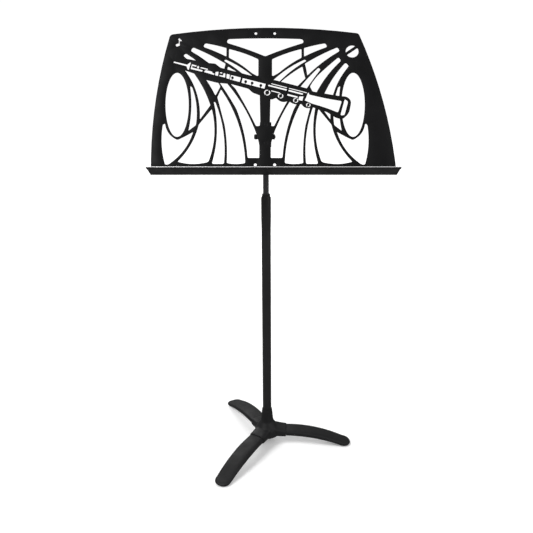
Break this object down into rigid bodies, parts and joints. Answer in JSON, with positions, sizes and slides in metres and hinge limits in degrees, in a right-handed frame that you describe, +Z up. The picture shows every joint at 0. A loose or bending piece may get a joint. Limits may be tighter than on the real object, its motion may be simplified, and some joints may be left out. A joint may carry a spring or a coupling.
{
  "type": "music stand",
  "caption": "Orchestral music stand: pierced sheet desk with a folded ledge and a woodwind motif, tilt joint, telescoping swivelling post and a low three-legged base.",
  "frame": {"origin": "on the axis of the post at floor level", "axes": "+Z up along the post, +X to the player's right, -Y towards the player"},
  "size_m": [0.508, 0.3617, 0.9765],
  "materials": {
    "desk_paint": "fine textured satin black",
    "base_casting": "satin black, slightly textured",
    "post_paint": "satin black",
    "inner_tube_steel": "blackened, semi-gloss",
    "fastener": "black oxide",
    "bush_plastic": "matte",
    "pad_rubber": "matte"
  },
  "bodies": {
    "base": {"base_hub": "base_casting", "leg_right": "base_casting", "leg_front_left": "base_casting", "leg_rear_left": "base_casting", "leg_screws": "fastener", "foot_pad_right": "pad_rubber", "foot_pad_front_left": "pad_rubber", "foot_pad_rear_left": "pad_rubber", "outer_tube": "post_paint", "tube_anchor_plug": "fastener", "base_bolt": "fastener", "base_washer": "fastener", "clutch_collar": "post_paint", "clutch_insert": "bush_plastic"},
    "carrier": {"guide_bush": "bush_plastic"},
    "post": {"inner_tube": "inner_tube_steel", "tube_end_plug": "bush_plastic", "bush_retaining_ring": "fastener", "tilt_head": "post_paint", "head_pin": "fastener"},
    "desk": {"desk_panel": "desk_paint", "ledge": "desk_paint", "desk_bracket": "desk_paint", "bracket_rivets": "desk_paint", "ledge_rivets": "desk_paint", "tilt_bolt": "fastener", "tilt_nut": "fastener", "friction_washers": "bush_plastic", "flat_washers": "fastener", "spring_washers": "fastener"}
  },
  "joints": [
    {"name": "height_slide", "type": "slide", "parent": "base", "child": "carrier", "axis": [0, 0, 1], "range_m": [-0.04, 0.39]},
    {"name": "post_swivel", "type": "hinge", "parent": "carrier", "child": "post", "pos_m": [0, 0, 0.2], "axis": [0, 0, 1], "continuous": true},
    {"name": "desk_tilt", "type": "hinge", "parent": "post", "child": "desk", "pos_m": [0, 0, 0.7645], "axis": [-1, 0, 0], "range_deg": [-30, 60]}
  ]
}
